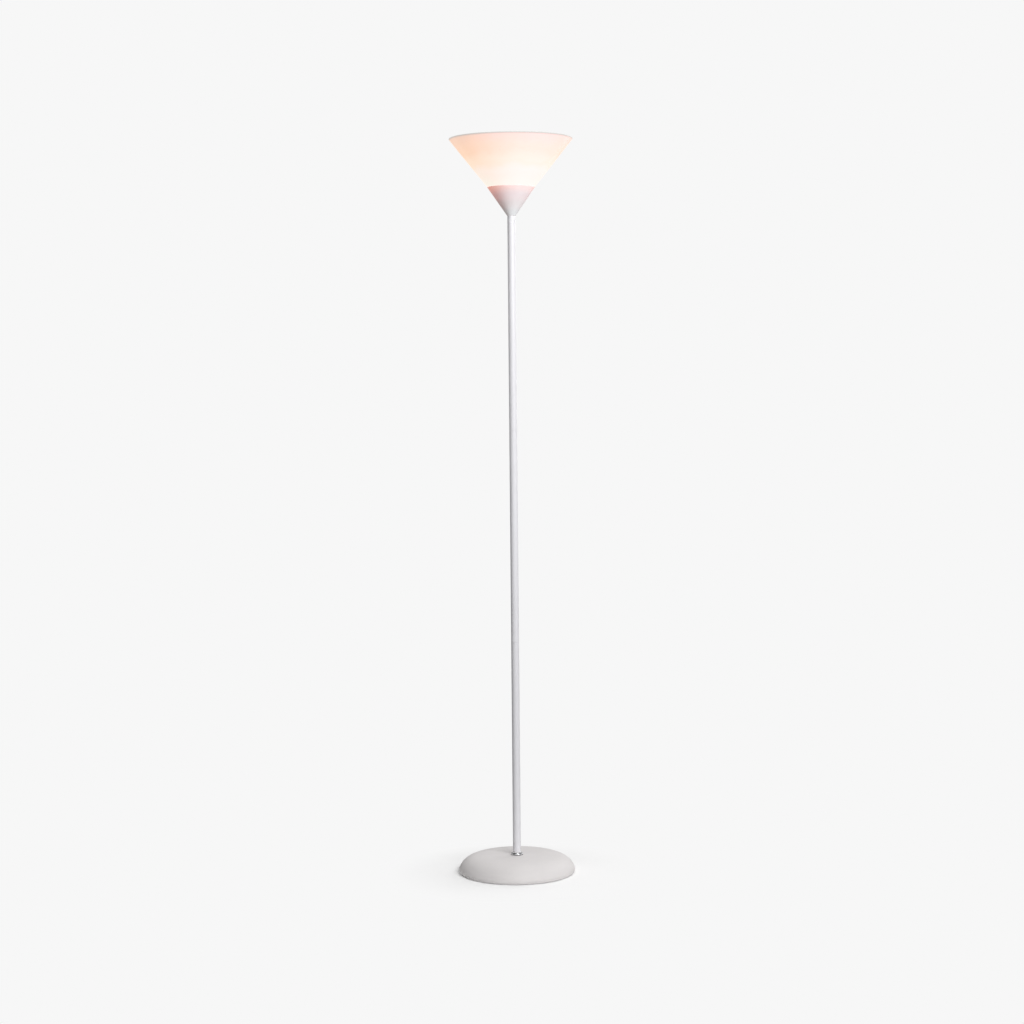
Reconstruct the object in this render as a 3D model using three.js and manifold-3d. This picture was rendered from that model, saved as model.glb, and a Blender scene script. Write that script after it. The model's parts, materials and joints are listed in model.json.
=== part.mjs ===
// Torchiere floor lamp: an opal cone shade in an opaque cup, on a slim three-section pole with a weighted
// dome base.
// Millimetres, +Z up. The origin is on the floor under the pole's axis, and the cord inlet faces +Y.
import * as THREE from "three";
import { mergeVertices } from "three/addons/utils/BufferGeometryUtils.js";
import Module from "manifold-3d";

const wasm = await Module();
wasm.setup();

// ---------------------------------------------------------------- driving dimensions

const GAP = 0.3; // between pieces that touch
const SEAT_GAP = 0.05; // under a flat face that is fastened down hard

const RIM_Z = 1770; // top of the shade, and of the lamp
const RIM_R = 148;
const SHADE_WALL = 2.5;

const CUP_BOTTOM_Z = 1587;
const CUP_BOTTOM_R = 10;
const CUP_TOP_Z = 1655;
const CUP_TOP_R = 57;
const CUP_WALL = 2;
const CUP_FLOOR = 3;

const POLE_R = 9.5;
const POLE_WALL = 1.1;
const POLE_SECTIONS = 3;

const BASE_R = 141;
const BASE_H = 42;
const BASE_WIDEST_Z = 8;
const BASE_WALL = 1.5;
const BASE_EDGE_Z = 1; // the cover's lower edge
const BASE_EDGE_R = BASE_R - 2;

const FOOT_R = 11;
const FOOT_H = 3;
const FOOT_RING_R = 118;
const FOOT_COUNT = 6;
const PLATE_T = 1.5;

const NIPPLE_R = 4.9; // M10 x 1 lamp pipe
const NIPPLE_BORE_R = 3.6;
const NIPPLE_HOLE_R = 5.3; // every hole that the lamp pipe passes through

const LEAD_R = 2.2;
const CORE_R = 0.9;

const BULB_R = 30;
const BULB_TIP_Z = 1625.5;
const BULB_LENGTH = 108;
const HOLDER_R = 19.5;

// ---------------------------------------------------------------- materials

const finish = (color, roughness, metalness = 0) =>
  new THREE.MeshStandardMaterial({ color, roughness, metalness });

const MATERIALS = {
  opal: finish(0xffe6d2, 0.35),
  cupPlastic: finish(0xeee4e3, 0.45),
  polePaint: finish(0xf0f0f2, 0.35),
  basePaint: finish(0xd9d7d5, 0.7),
  castIron: finish(0x4a4a4c, 0.8, 0.6),
  zinc: finish(0xb9bcbf, 0.4, 1),
  chrome: finish(0xe6e8ea, 0.08, 1),
  brass: finish(0xc9a557, 0.3, 1),
  rubber: finish(0x2b2b2c, 0.85),
  holderPlastic: finish(0xefeeea, 0.4),
  steatite: finish(0xe9e4d8, 0.55),
  lead: finish(0xe8e8e6, 0.5),
  liveCore: finish(0x6f4326, 0.5),
  neutralCore: finish(0x2f5d9a, 0.5),
  bulbPlastic: finish(0xf4f4f2, 0.4),
  bulbDiffuser: finish(0xfff3e2, 0.5),
  nickel: finish(0xcfcfcb, 0.25, 1),
  blackGlass: finish(0x1b1b1d, 0.2),
};

// ---------------------------------------------------------------- shape helpers

const lamp = new THREE.Group();

function piece(name, geometry, material) {
  const mesh = new THREE.Mesh(geometry, MATERIALS[material]);
  mesh.name = name;
  lamp.add(mesh);
  return mesh;
}

// A solid of revolution about Z. The outline is a list of [radius, z]: a closed loop, or a line from the
// axis to the axis.
function turned(outline, segments = 24) {
  const points = outline.map(([r, z]) => new THREE.Vector2(r, z));
  const isLoop = points[0].x > 0;
  if (isLoop) points.push(points[0].clone());
  if (THREE.ShapeUtils.area(points) < 0) points.reverse();
  return new THREE.LatheGeometry(points, segments).rotateX(Math.PI / 2);
}

// A ring of square section, from radius r0 to r1 and from z0 to z1.
const ring = (r0, r1, z0, z1, segments) =>
  turned([[r0, z0], [r1, z0], [r1, z1], [r0, z1]], segments);

const rod = (r, z0, z1, segments) =>
  turned([[0, z0], [r, z0], [r, z1], [0, z1]], segments);

// Points on an elliptical arc round (r, z), from one angle to another, in degrees.
function arc(r, z, radiusR, radiusZ, from, to, steps) {
  return Array.from({ length: steps + 1 }, (_, i) => {
    const a = THREE.MathUtils.degToRad(from + ((to - from) * i) / steps);
    return [r + radiusR * Math.cos(a), z + radiusZ * Math.sin(a)];
  });
}

function solid(geometry) {
  const bare = geometry.index ? geometry.toNonIndexed() : geometry.clone();
  bare.deleteAttribute("normal");
  bare.deleteAttribute("uv");
  const merged = mergeVertices(bare, 1e-4);
  return new wasm.Manifold(
    new wasm.Mesh({
      numProp: 3,
      vertProperties: merged.attributes.position.array,
      triVerts: new Uint32Array(merged.index.array),
    }),
  );
}

function geometryOf(manifold) {
  const mesh = manifold.getMesh();
  return new THREE.BufferGeometry()
    .setAttribute("position", new THREE.BufferAttribute(mesh.vertProperties, 3))
    .setIndex(new THREE.BufferAttribute(mesh.triVerts, 1));
}

// The body with each of the tools cut out of it.
const cut = (body, ...tools) =>
  geometryOf(tools.reduce((made, tool) => made.subtract(solid(tool)), solid(body)));

// A round bar along a smooth line through points of [x, y, z], with as many steps between each two of them.
function bar(points, radius, stepsBetween, sides) {
  const path = new THREE.CatmullRomCurve3(points.map((p) => new THREE.Vector3(...p)), false, "centripetal");
  path.getPointAt = path.getPoint;
  path.getTangentAt = path.getTangent;
  const steps = stepsBetween * (points.length - 1);
  const section = new THREE.Shape(
    Array.from({ length: sides }, (_, i) => {
      const a = (2 * Math.PI * i) / sides;
      return new THREE.Vector2(radius * Math.cos(a), radius * Math.sin(a));
    }),
  );
  return new THREE.ExtrudeGeometry(section, { steps, extrudePath: path, bevelEnabled: false });
}

const box = (x0, x1, y0, y1, z0, z1) =>
  new THREE.BoxGeometry(x1 - x0, y1 - y0, z1 - z0).translate((x0 + x1) / 2, (y0 + y1) / 2, (z0 + z1) / 2);

const along = {
  x: (geometry) => geometry.rotateY(Math.PI / 2), // turns a shape on +Z to lie on +X
  y: (geometry) => geometry.rotateX(-Math.PI / 2), // turns a shape on +Z to lie on +Y
};

// A flat plate with a round hole. The rim's corners are given by their count and the radius of each.
function holedPlate(corners, radiusOf, holeR, z0, thickness) {
  const rim = Array.from({ length: corners }, (_, i) => {
    const a = (2 * Math.PI * i) / corners;
    return new THREE.Vector2(radiusOf(i) * Math.cos(a), radiusOf(i) * Math.sin(a));
  });
  const shape = new THREE.Shape(rim);
  shape.holes.push(new THREE.Path().absarc(0, 0, holeR, 0, 2 * Math.PI, true));
  const settings = { depth: thickness, bevelEnabled: false, curveSegments: 9 };
  return new THREE.ExtrudeGeometry(shape, settings).translate(0, 0, z0);
}

const hexNut = (acrossFlats, holeR, z0, thickness) =>
  holedPlate(6, () => acrossFlats / 2 / Math.cos(Math.PI / 6), holeR, z0, thickness);

const toothedWasher = (holeR, rootR, tipR, teeth, z0, thickness) =>
  holedPlate(2 * teeth, (i) => (i % 2 ? rootR : tipR), holeR, z0, thickness);

// A slotted screw on the axis, its head at z0 and its tip at z1. Either may be the higher.
function screw(headR, headH, shankR, z0, z1, slotW) {
  const up = Math.sign(z1 - z0);
  const neckZ = z0 + up * headH;
  const body = turned([[0, z0], [headR, z0], [headR, neckZ], [shankR, neckZ], [shankR, z1], [0, z1]], 12);
  const slotDepth = headH * 0.5;
  const [low, high] = up > 0 ? [z0 - 1, z0 + slotDepth] : [z0 - slotDepth, z0 + 1];
  return cut(body, box(-headR - 1, headR + 1, -slotW / 2, slotW / 2, low, high));
}

// ---------------------------------------------------------------- base

// The dome's outline from the crown out to its widest ring: flat on top, with full shoulders.
const CROWN_POWER = 6.8;
const SHOULDER_POWER = 1.4;

function dome(radius, height, widestZ, innerR, steps) {
  const start = Math.asin(Math.pow(innerR / radius, CROWN_POWER / 2));
  return Array.from({ length: steps + 1 }, (_, i) => {
    const a = start + ((Math.PI / 2 - start) * i) / steps;
    return [
      radius * Math.pow(Math.sin(a), 2 / CROWN_POWER),
      widestZ + (height - widestZ) * Math.pow(Math.max(Math.cos(a), 0), 2 / SHOULDER_POWER),
    ];
  });
}

// Below its widest ring the cover turns in to its lower edge. These points run down that curve.
const turnedIn = (extra) =>
  arc(BASE_EDGE_R + extra, BASE_WIDEST_Z, BASE_R - BASE_EDGE_R, BASE_WIDEST_Z - BASE_EDGE_Z, -22, -90, 3);

const PLATE_Z = FOOT_H;
const WEIGHT_Z = PLATE_Z + PLATE_T + GAP;
const WEIGHT_TOP_Z = 18;
const WEIGHT_R = 112;
const WELL_R = 24; // the recess under the weight that holds the nut
const WELL_TOP_Z = 28;
const HUB_R = 34; // the middle of the weight, which carries the crown of the cover
const INLET_Z = 12; // height of the cord inlet's axis
const INLET_BORE_R = 3.6;
const INLET_BODY_R = 6;
const INLET_FLANGE_R = 8.5;
const SCREW_RING_R = 96;
const SCREW_COUNT = 3;
const BLOCK_Y = 68; // middle of the terminal block

const onRing = (radius, index, count, turn = 0) => {
  const a = (2 * Math.PI * index) / count + turn;
  return [radius * Math.cos(a), radius * Math.sin(a)];
};
const SCREW_PLACES = Array.from({ length: SCREW_COUNT }, (_, i) =>
  onRing(SCREW_RING_R, i, SCREW_COUNT, -Math.PI / 2),
);
const screwHoles = (topZ) => SCREW_PLACES.map(([x, y]) => rod(2.3, 0, topZ, 10).translate(x, y, 0));

const inletRod = (radius, y0, y1) => along.y(rod(radius, y0, y1, 16)).translate(0, 0, INLET_Z);

function buildBase() {
  const outer = dome(BASE_R, BASE_H, BASE_WIDEST_Z, NIPPLE_HOLE_R, 12);
  const inner = dome(BASE_R - BASE_WALL, BASE_H - BASE_WALL, BASE_WIDEST_Z, NIPPLE_HOLE_R, 10);
  const cover = turned(
    [...outer, ...turnedIn(0), [BASE_EDGE_R - BASE_WALL, BASE_EDGE_Z], ...inner.reverse()],
    48,
  );
  piece("base_cover", cut(cover, inletRod(INLET_BODY_R + GAP, BASE_R - 10, BASE_R + 5)), "basePaint");

  const hubTop = BASE_H - BASE_WALL - 2 * GAP;
  const weight = turned(
    [
      [0, WEIGHT_Z],
      [WEIGHT_R, WEIGHT_Z],
      [WEIGHT_R, WEIGHT_TOP_Z - 2],
      [WEIGHT_R - 4, WEIGHT_TOP_Z],
      [HUB_R + 3, WEIGHT_TOP_Z],
      [HUB_R, WEIGHT_TOP_Z + 3],
      [HUB_R, hubTop],
      [0, hubTop],
    ],
    32,
  );
  piece(
    "base_weight",
    cut(
      weight,
      rod(NIPPLE_HOLE_R + 0.3, 0, 60, 16),
      rod(WELL_R, 0, WELL_TOP_Z, 24),
      box(-6, 6, 0, BASE_R, 0, 14),
      box(-14, 14, BLOCK_Y - 18, BLOCK_Y + 18, 0, 16),
      ...screwHoles(15),
    ),
    "castIron",
  );

  const plateR = BASE_EDGE_R - BASE_WALL - GAP;
  piece("base_plate", cut(rod(plateR, PLATE_Z, PLATE_Z + PLATE_T, 48), ...screwHoles(10)), "zinc");

  const headH = 1.8;
  SCREW_PLACES.forEach(([x, y], i) => {
    const plateScrew = screw(3.8, headH, 2, PLATE_Z - headH - SEAT_GAP, 13, 1);
    piece(`plate_screw_${i + 1}`, plateScrew.translate(x, y, 0), "zinc");
  });
  for (let i = 0; i < FOOT_COUNT; i++) {
    const [x, y] = onRing(FOOT_RING_R, i, FOOT_COUNT, Math.PI / 6);
    const top = FOOT_H - SEAT_GAP;
    const foot = turned([[0, 0], [FOOT_R - 1, 0], [FOOT_R, 1], [FOOT_R, top], [0, top]], 16);
    piece(`foot_${i + 1}`, foot.translate(x, y, 0), "rubber");
  }

  // The inlet bush: its flange follows the dome's wall.
  const clearDome = turned(
    [
      [0, 0],
      [BASE_EDGE_R + GAP, 0],
      ...turnedIn(GAP).reverse(),
      ...dome(BASE_R + GAP, BASE_H, BASE_WIDEST_Z, 0, 16).reverse(),
    ],
    96,
  );
  const flange = solid(inletRod(INLET_FLANGE_R, BASE_R - 5, BASE_R + 2.4)).subtract(solid(clearDome));
  const barrel = solid(inletRod(INLET_BODY_R, BASE_R - 9, BASE_R));
  const bore = solid(inletRod(INLET_BORE_R, BASE_R - 20, BASE_R + 20));
  piece("cord_inlet_bush", geometryOf(flange.add(barrel).subtract(bore)), "rubber");
}

// ---------------------------------------------------------------- pole

const FERRULE_R = 14.8; // its flange, on the crown of the cover
const FERRULE_COLLAR_R = POLE_R + 1;
const FERRULE_TOP_Z = BASE_H + 7.7;
const SEAT_Z = BASE_H + 6.2; // the ferrule's seat, where the pole stands
const POLE_FOOT_Z = SEAT_Z + GAP;
const POLE_TOP_Z = CUP_BOTTOM_Z - GAP;
const SECTION = (POLE_TOP_Z - POLE_FOOT_Z) / POLE_SECTIONS;
const INSERT_LENGTH = 16;
const INSERT_INSET = 0.6; // how far each insert's face lies inside its tube's end
const NUT_TOP_Z = WELL_TOP_Z - 2.8;
const BASE_NIPPLE_Z = NUT_TOP_Z - 6;

function buildPole() {
  const ferrule = turned(
    [
      [NIPPLE_HOLE_R, BASE_H],
      [FERRULE_R - 0.8, BASE_H],
      [FERRULE_R, BASE_H + 0.8],
      [FERRULE_R, BASE_H + 2.2],
      [FERRULE_R - 0.5, BASE_H + 3],
      [FERRULE_R - 1.6, BASE_H + 3.5],
      ...arc(FERRULE_COLLAR_R + 2, BASE_H + 5.6, 2, 2, -90, -180, 2),
      [FERRULE_COLLAR_R, FERRULE_TOP_Z - 0.3],
      [FERRULE_COLLAR_R - 0.3, FERRULE_TOP_Z],
      [POLE_R + GAP, FERRULE_TOP_Z],
      [POLE_R + GAP, SEAT_Z],
      [NIPPLE_HOLE_R, SEAT_Z],
    ],
    24,
  );
  piece("pole_ferrule", ferrule, "chrome");

  const names = ["lower", "middle", "upper"];
  for (let i = 0; i < POLE_SECTIONS; i++) {
    const z0 = POLE_FOOT_Z + i * SECTION;
    const z1 = z0 + SECTION - (i < POLE_SECTIONS - 1 ? GAP : 0);
    piece(`pole_${names[i]}`, ring(POLE_R - POLE_WALL, POLE_R, z0, z1, 24), "polePaint");
    const insertR = POLE_R - POLE_WALL - 0.2;
    const ends = { bottom: z0 + INSERT_INSET, top: z1 - INSERT_INSET - INSERT_LENGTH };
    for (const [end, z] of Object.entries(ends)) {
      const insert = ring(NIPPLE_HOLE_R, insertR, z, z + INSERT_LENGTH, 16);
      piece(`pole_${names[i]}_${end}_insert`, insert, "zinc");
    }
  }
  for (let i = 1; i < POLE_SECTIONS; i++) {
    const joint = POLE_FOOT_Z + i * SECTION;
    piece(`joint_nipple_${i}`, ring(NIPPLE_BORE_R, NIPPLE_R, joint - 14, joint + 14, 16), "zinc");
  }

  piece("base_nipple", ring(NIPPLE_BORE_R, NIPPLE_R, BASE_NIPPLE_Z, POLE_FOOT_Z + 15, 16), "zinc");
  const washerZ = WELL_TOP_Z - 1.5 - 0.1;
  piece("base_washer", ring(NIPPLE_HOLE_R, 16, washerZ, washerZ + 1.5, 20), "zinc");
  piece("base_lock_washer", toothedWasher(NIPPLE_HOLE_R, 7.6, 9, 12, washerZ - 1, 0.9), "zinc");
  piece("base_nut", hexNut(16, NIPPLE_HOLE_R, NUT_TOP_Z - 4.5, 4.5), "zinc");
}

// ---------------------------------------------------------------- cup and lampholder

const CUP_SLOPE = (CUP_TOP_R - CUP_BOTTOM_R) / (CUP_TOP_Z - CUP_BOTTOM_Z);
const CUP_WALL_ACROSS = CUP_WALL * Math.hypot(1, CUP_SLOPE); // the wall measured along a radius
const cupOuterR = (z) => CUP_BOTTOM_R + CUP_SLOPE * (z - CUP_BOTTOM_Z);
const cupInnerR = (z) => cupOuterR(z) - CUP_WALL_ACROSS;

const CUP_FLOOR_Z = CUP_BOTTOM_Z + CUP_FLOOR;
const HEAD_NUT_Z = CUP_FLOOR_Z + 1.6;
const HOLDER_Z = HEAD_NUT_Z + 4; // the lampholder's neck
const CAP_TOP_Z = HOLDER_Z + 19;
const SKIRT_Z = CAP_TOP_Z + GAP;
const SKIRT_TOP_Z = 1651;
const SKIRT_INNER_R = 16;
const PUCK_Z = CAP_TOP_Z - 5;
const PUCK_TOP_Z = BULB_TIP_Z - 4.5;
const SHELL_INNER_R = 13.7;
const HEAD_NIPPLE_TOP_Z = HOLDER_Z + 9;
const TERMINAL_X = 9;
const TERMINAL_Z = PUCK_Z + 3.2;

function buildHead() {
  const cup = turned(
    [
      [NIPPLE_HOLE_R, CUP_BOTTOM_Z],
      [CUP_BOTTOM_R, CUP_BOTTOM_Z],
      [CUP_TOP_R, CUP_TOP_Z],
      [cupInnerR(CUP_TOP_Z), CUP_TOP_Z],
      [cupInnerR(CUP_FLOOR_Z), CUP_FLOOR_Z],
      [NIPPLE_HOLE_R, CUP_FLOOR_Z],
    ],
    48,
  );
  piece("shade_cup", cup, "cupPlastic");
  piece("head_nipple", ring(NIPPLE_BORE_R, NIPPLE_R, POLE_TOP_Z - 15, HEAD_NIPPLE_TOP_Z, 16), "zinc");
  piece("cup_washer", ring(NIPPLE_HOLE_R, 9, CUP_FLOOR_Z + 0.1, CUP_FLOOR_Z + 1.3, 20), "zinc");
  piece("cup_nut", hexNut(14, NIPPLE_HOLE_R, HEAD_NUT_Z, 3.6), "zinc");

  // The cap is a hollow dome on a threaded neck.
  const neckR = 8;
  const cap = turned(
    [
      [NIPPLE_HOLE_R, HOLDER_Z],
      [neckR, HOLDER_Z],
      [neckR, HOLDER_Z + 4],
      ...arc(neckR, CAP_TOP_Z - 4, HOLDER_R - neckR, 11, -75, 0, 3),
      [HOLDER_R, CAP_TOP_Z],
      [HOLDER_R - 2, CAP_TOP_Z],
      ...arc(neckR, CAP_TOP_Z - 4, HOLDER_R - neckR - 2, 9, 0, -80, 3),
      [NIPPLE_HOLE_R, HOLDER_Z + 8],
    ],
    24,
  );
  piece("lampholder_cap", cap, "holderPlastic");

  // The skirt is a plain sleeve with a stepped mouth, over the puck and the thread shell.
  const skirt = turned(
    [
      [SKIRT_INNER_R, SKIRT_Z],
      [HOLDER_R, SKIRT_Z],
      [HOLDER_R, SKIRT_TOP_Z - 9],
      [HOLDER_R - 1.5, SKIRT_TOP_Z - 8],
      [HOLDER_R - 1.5, SKIRT_TOP_Z],
      [SKIRT_INNER_R - 1.2, SKIRT_TOP_Z],
      [SKIRT_INNER_R - 1.2, SKIRT_TOP_Z - 1.5],
      [SKIRT_INNER_R, SKIRT_TOP_Z - 2.5],
    ],
    24,
  );
  piece("lampholder_skirt", skirt, "holderPlastic");

  const terminals = { live: -1, neutral: 1 }; // the side of the puck that each is on
  const across = (geometry, side) =>
    along.x(geometry).rotateZ(side < 0 ? Math.PI : 0).translate(0, 0, TERMINAL_Z);
  const tools = Object.values(terminals).flatMap((side) => [
    rod(1.6, PUCK_Z - 1, PUCK_Z + 4.5, 8).translate(side * TERMINAL_X, 0, 0),
    across(rod(2, TERMINAL_X, SKIRT_INNER_R + 2, 10), side),
  ]);
  piece("lampholder_puck", cut(rod(SKIRT_INNER_R - 0.5, PUCK_Z, PUCK_TOP_Z, 24), ...tools), "steatite");
  for (const [pole, side] of Object.entries(terminals)) {
    const clampScrew = screw(1.7, 1.5, 1.2, SKIRT_INNER_R - 0.6, TERMINAL_X + 1.5, 0.7);
    piece(`lampholder_screw_${pole}`, across(clampScrew, side), "brass");
  }

  const shell = turned(
    [
      [SHELL_INNER_R, PUCK_TOP_Z + 0.1],
      [SHELL_INNER_R + 0.6, PUCK_TOP_Z + 0.1],
      [SHELL_INNER_R + 0.6, SKIRT_TOP_Z - 3],
      [SHELL_INNER_R, SKIRT_TOP_Z - 3],
    ],
    24,
  );
  piece("lampholder_thread_shell", shell, "brass");

  // The sprung centre contact: a strip that rises from the puck to just under the bulb's tip.
  const thick = 0.5;
  const rise = 3.4;
  const strip = new THREE.Shape();
  strip.moveTo(-8, 0).lineTo(-4, 0).lineTo(-1, rise).lineTo(4, rise).lineTo(4, rise + thick);
  strip.lineTo(-1.3, rise + thick).lineTo(-4.4, thick).lineTo(-8, thick).closePath();
  const width = 5;
  const contact = new THREE.ExtrudeGeometry(strip, { depth: width, bevelEnabled: false });
  contact.translate(0, 0, -width / 2).rotateX(Math.PI / 2).translate(0, 0, PUCK_TOP_Z + 0.1);
  piece("lampholder_contact", contact, "brass");
}

// ---------------------------------------------------------------- shade

const SHADE_SEAM_Z = CUP_TOP_Z + GAP;
const COLLAR_DEPTH = 14;

function buildShade() {
  const lip = SHADE_WALL / 2; // the rounded edge's height
  const slope = (RIM_R - CUP_TOP_R) / (RIM_Z - lip - SHADE_SEAM_Z);
  const wallAcross = SHADE_WALL * Math.hypot(1, slope);
  const collarZ = CUP_TOP_Z - COLLAR_DEPTH;
  const collarR = (z) => cupInnerR(z) - GAP;
  const collarWall = 2.2;
  const shade = turned(
    [
      [collarR(collarZ) - collarWall, collarZ],
      [collarR(collarZ), collarZ],
      [collarR(CUP_TOP_Z), CUP_TOP_Z + 0.1],
      [collarR(CUP_TOP_Z), SHADE_SEAM_Z],
      [CUP_TOP_R, SHADE_SEAM_Z],
      ...arc(RIM_R - wallAcross / 2, RIM_Z - lip, wallAcross / 2, lip, 0, 180, 4),
      [CUP_TOP_R - wallAcross + slope * 2, SHADE_SEAM_Z + 2],
    ],
    48,
  );
  piece("shade", shade, "opal");
}

// ---------------------------------------------------------------- bulb

const SCREW_CAP_R = 13.1;
const SCREW_CAP_Z = BULB_TIP_Z + 5.5;
const SCREW_CAP_TOP_Z = BULB_TIP_Z + 26.5;
const GLOBE_Z = BULB_TIP_Z + BULB_LENGTH - BULB_R; // the globe's centre
const BODY_TOP_Z = GLOBE_Z - 17;
const BODY_TOP_R = 24.5;

function buildBulb() {
  const tipTop = BULB_TIP_Z + 2.4;
  const tip = turned(
    [[0, BULB_TIP_Z], [3.4, BULB_TIP_Z], [4.8, BULB_TIP_Z + 1.2], [4.8, tipTop], [0, tipTop]],
    16,
  );
  piece("bulb_contact", tip, "nickel");

  const glassR = SCREW_CAP_R - 1.4;
  const glassTop = SCREW_CAP_Z + 1.5;
  const insulator = turned(
    [[0, tipTop + 0.1], [6, tipTop + 0.1], [glassR, SCREW_CAP_Z - GAP], [glassR, glassTop], [0, glassTop]],
    20,
  );
  piece("bulb_insulator", insulator, "blackGlass");
  piece("bulb_screw_cap", ring(SCREW_CAP_R - 1, SCREW_CAP_R, SCREW_CAP_Z, SCREW_CAP_TOP_Z, 24), "nickel");

  // The body's neck reaches down into the screw cap, and its bowl flares to the globe.
  const neckR = SCREW_CAP_R - 1.3;
  const body = turned(
    [
      [neckR - 1.5, SCREW_CAP_Z + 8],
      [neckR, SCREW_CAP_Z + 8],
      [neckR, SCREW_CAP_TOP_Z + 0.2],
      [SCREW_CAP_R + 0.9, SCREW_CAP_TOP_Z + 0.2],
      [SCREW_CAP_R + 0.9, SCREW_CAP_TOP_Z + 5],
      [SCREW_CAP_R + 4, SCREW_CAP_TOP_Z + 13],
      [BODY_TOP_R - 1.5, BODY_TOP_Z - 6],
      [BODY_TOP_R, BODY_TOP_Z],
      [BODY_TOP_R - 1.6, BODY_TOP_Z],
      [BODY_TOP_R - 3.1, BODY_TOP_Z - 6],
      [SCREW_CAP_R + 2.4, SCREW_CAP_TOP_Z + 13],
      [neckR - 1.5, SCREW_CAP_TOP_Z + 3],
    ],
    24,
  );
  piece("bulb_body", body, "bulbPlastic");
  piece("bulb_led_board", rod(BODY_TOP_R - 3.6, BODY_TOP_Z - 2, BODY_TOP_Z - 0.8, 16), "bulbPlastic");

  const wall = 1.2;
  const edgeZ = BODY_TOP_Z + 0.2 - GLOBE_Z;
  const skin = (radius, steps) => {
    const edgeAngle = THREE.MathUtils.radToDeg(Math.asin(edgeZ / radius));
    const points = arc(0, GLOBE_Z, radius, radius, edgeAngle, 90, steps);
    points[steps][0] = 0;
    return points;
  };
  const globe = turned([...skin(BULB_R, 8).reverse(), ...skin(BULB_R - wall, 5)], 24);
  piece("bulb_globe", globe, "bulbDiffuser");
}

// ---------------------------------------------------------------- wiring

const BLOCK_Z = WEIGHT_Z + 0.5;
const BLOCK_H = 9.5;
const BARREL_X = 4.2;
const BARREL_Z = BLOCK_Z + BLOCK_H / 2;
const BLOCK_HALF_Y = 10;
const LEAD_BEND_R = 9;
const LEAD_BEND_Z = BASE_NIPPLE_Z - 1.5; // the bend starts just below the nipple
const LEAD_LOW_Z = LEAD_BEND_Z - LEAD_BEND_R;
const LEAD_END_Y = BLOCK_Y - BLOCK_HALF_Y - 13;
const LEAD_TOP_Z = HEAD_NIPPLE_TOP_Z - 4;

function buildTerminalBlock() {
  const screwYs = [BLOCK_Y - 5.5, BLOCK_Y + 5.5];
  const xs = { live: -BARREL_X, neutral: BARREL_X };
  const barrelRod = (x, r, inset) => {
    const half = BLOCK_HALF_Y - inset;
    return along.y(rod(r, BLOCK_Y - half, BLOCK_Y + half, 12)).translate(x, 0, BARREL_Z);
  };
  const boltHole = (x, y, r) => rod(r, 0, BARREL_Z, 8).translate(x, y, 0);
  const places = Object.values(xs).flatMap((x) => screwYs.map((y) => [x, y]));
  piece(
    "terminal_block",
    cut(
      box(-9, 9, BLOCK_Y - BLOCK_HALF_Y, BLOCK_Y + BLOCK_HALF_Y, BLOCK_Z, BLOCK_Z + BLOCK_H),
      ...Object.values(xs).map((x) => barrelRod(x, 3.2, -1)),
      ...places.map(([x, y]) => boltHole(x, y, 2.2)),
    ),
    "holderPlastic",
  );
  for (const [pole, x] of Object.entries(xs)) {
    piece(
      `terminal_barrel_${pole}`,
      cut(barrelRod(x, 2.8, 0.5), barrelRod(x, 1.5, -1), ...screwYs.map((y) => boltHole(x, y, 1.6))),
      "brass",
    );
    screwYs.forEach((y, i) => {
      const clampScrew = screw(1.3, 1, 1.25, BLOCK_Z + 0.8, BARREL_Z - CORE_R - GAP, 0.6);
      piece(`terminal_screw_${pole}_${i + 1}`, clampScrew.translate(x, y, 0), "zinc");
    });
  }
}

function buildWiring() {
  buildTerminalBlock();
  // Along the channel under the weight, round a quarter turn, and straight up the pole.
  const bend = arc(LEAD_BEND_R, LEAD_BEND_Z, LEAD_BEND_R, LEAD_BEND_R, -90, -180, 6);
  const route = [
    [0, LEAD_END_Y, LEAD_LOW_Z],
    [0, LEAD_BEND_R + 12, LEAD_LOW_Z],
    [0, LEAD_BEND_R + 3, LEAD_LOW_Z],
    ...bend.map(([y, z]) => [0, y, z]),
    [0, 0, LEAD_BEND_Z + 3],
    [0, 0, LEAD_BEND_Z + 12],
    [0, 0, LEAD_TOP_Z],
  ];
  piece("inner_lead", bar(route, LEAD_R, 1, 8), "lead");

  const coreX = 1.2;
  for (const [pole, side] of [["live", -1], ["neutral", 1]]) {
    const base = [
      [side * coreX, LEAD_END_Y + GAP, LEAD_LOW_Z],
      [side * coreX, LEAD_END_Y + 2, LEAD_LOW_Z],
      [side * (coreX + 0.4), LEAD_END_Y + 4, LEAD_LOW_Z],
      [side * (BARREL_X - 0.5), LEAD_END_Y + 9.5, BARREL_Z],
      [side * BARREL_X, BLOCK_Y - BLOCK_HALF_Y, BARREL_Z],
      [side * BARREL_X, BLOCK_Y + 1, BARREL_Z],
    ];
    piece(`base_core_${pole}`, bar(base, CORE_R, 3, 6), `${pole}Core`);
    const head = [
      [side * coreX, 0, LEAD_TOP_Z + GAP],
      [side * coreX, 0, LEAD_TOP_Z + 2],
      [side * (coreX + 0.6), 0, LEAD_TOP_Z + 4.5],
      [side * (TERMINAL_X - 1.5), 0, PUCK_Z - 3],
      [side * TERMINAL_X, 0, PUCK_Z - 0.5],
      [side * TERMINAL_X, 0, PUCK_Z + 1.2],
    ];
    piece(`head_core_${pole}`, bar(head, CORE_R, 3, 6), `${pole}Core`);
  }
}

buildBase();
buildPole();
buildHead();
buildShade();
buildBulb();
buildWiring();

export default lamp;
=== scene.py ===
"""The looks of the torchiere floor lamp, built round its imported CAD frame.

Metres, +Z up, front towards -Y.
"""

import json
import math

import bmesh
import bpy
from mathutils import Matrix, Vector

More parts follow.
